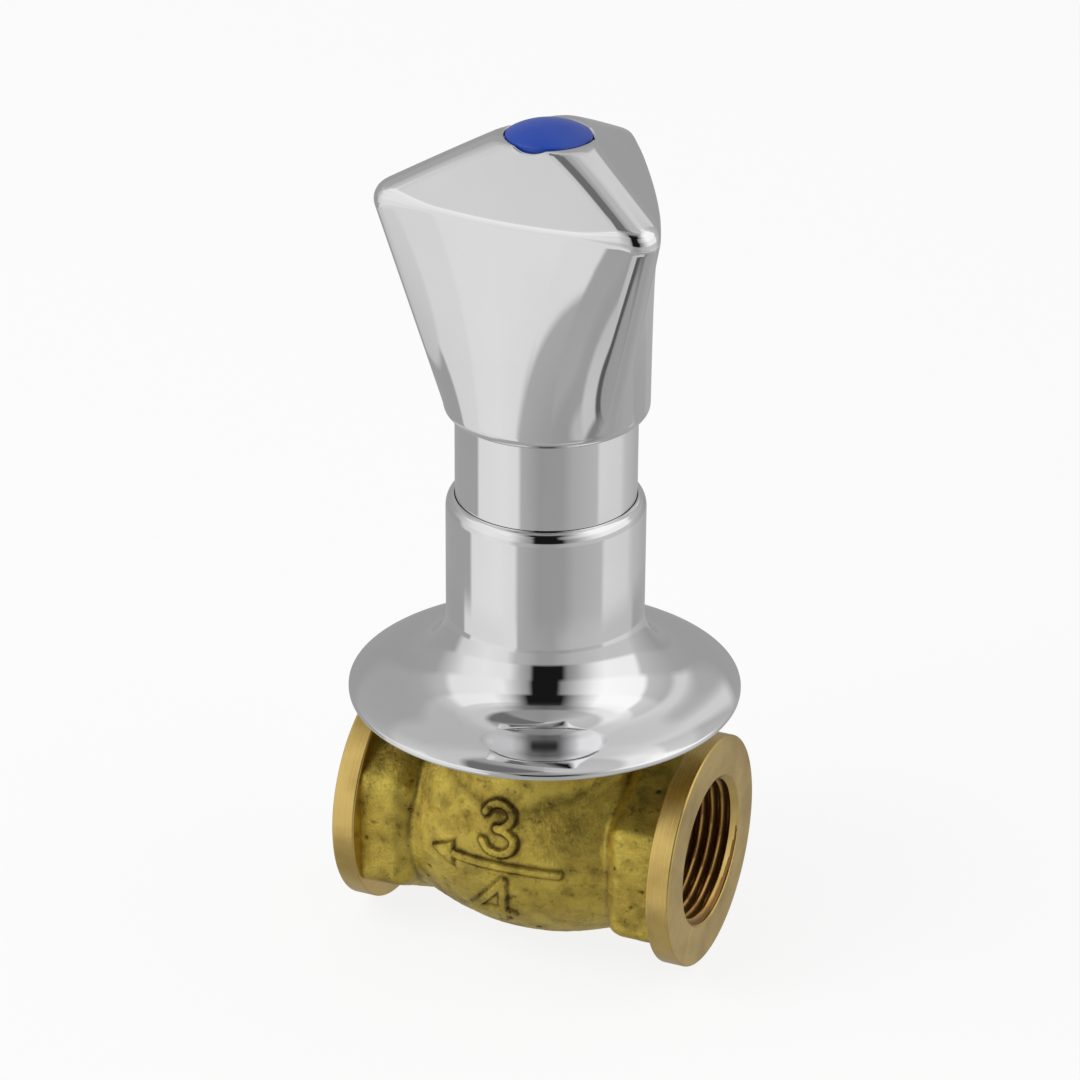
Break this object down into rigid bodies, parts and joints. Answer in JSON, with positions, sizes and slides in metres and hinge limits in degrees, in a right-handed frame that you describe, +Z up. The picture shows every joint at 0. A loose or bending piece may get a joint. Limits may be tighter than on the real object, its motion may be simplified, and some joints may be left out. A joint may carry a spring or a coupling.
{
  "type": "shut-off valve",
  "caption": "In-wall stop valve: cast brass globe body with threaded pipe ends, chrome bell flange and sleeve, and a three-cornered chrome knob with a blue button.",
  "frame": {"origin": "on the spindle's axis, level with the lowest point of the end rings", "axes": "+Z up along the spindle towards the knob, +X along the pipe towards the outlet"},
  "size_m": [0.0666, 0.0666, 0.147],
  "materials": {
    "cast_brass": "sand cast",
    "machined_brass": "turned",
    "chrome_plate": "polished",
    "blue_plastic": "moulded gloss",
    "white_plastic": "moulded",
    "black_rubber": "moulded",
    "steel": "zinc plated"
  },
  "bodies": {
    "body": {"valve_body": "cast_brass", "headwork": "machined_brass", "headwork_gasket": "black_rubber", "sleeve": "chrome_plate", "sleeve_nut": "machined_brass"},
    "knob_and_spindle": {"spindle": "machined_brass", "spindle_o_ring_lower": "black_rubber", "spindle_o_ring_upper": "black_rubber", "thrust_washer": "white_plastic", "circlip": "steel", "spindle_extension": "machined_brass", "extension_grub_screw": "steel", "knob": "chrome_plate", "knob_insert": "white_plastic", "knob_screw": "steel", "knob_screw_washer": "steel", "index_button": "blue_plastic"},
    "plunger_group": {"plunger": "machined_brass", "seat_washer": "black_rubber", "seat_washer_plate": "steel", "seat_washer_screw": "steel"},
    "flange_group": {"wall_flange": "chrome_plate", "flange_o_ring": "black_rubber"}
  },
  "joints": [
    {"name": "knob_turn", "type": "hinge", "parent": "body", "child": "knob_and_spindle", "pos_m": [0, 0, 0.0201], "axis": [0, 0, 1], "range_deg": [0, 900]},
    {"name": "plunger_lift", "type": "slide", "parent": "body", "child": "plunger_group", "axis": [0, 0, 1], "range_m": [0, 0.00505]},
    {"name": "flange_slide", "type": "slide", "parent": "body", "child": "flange_group", "axis": [0, 0, 1], "range_m": [-0.0045, 0.0132]}
  ],
  "couplings": [
    {"joint": "plunger_lift", "follows": "knob_turn", "m_per_rad": 0.00031831}
  ]
}
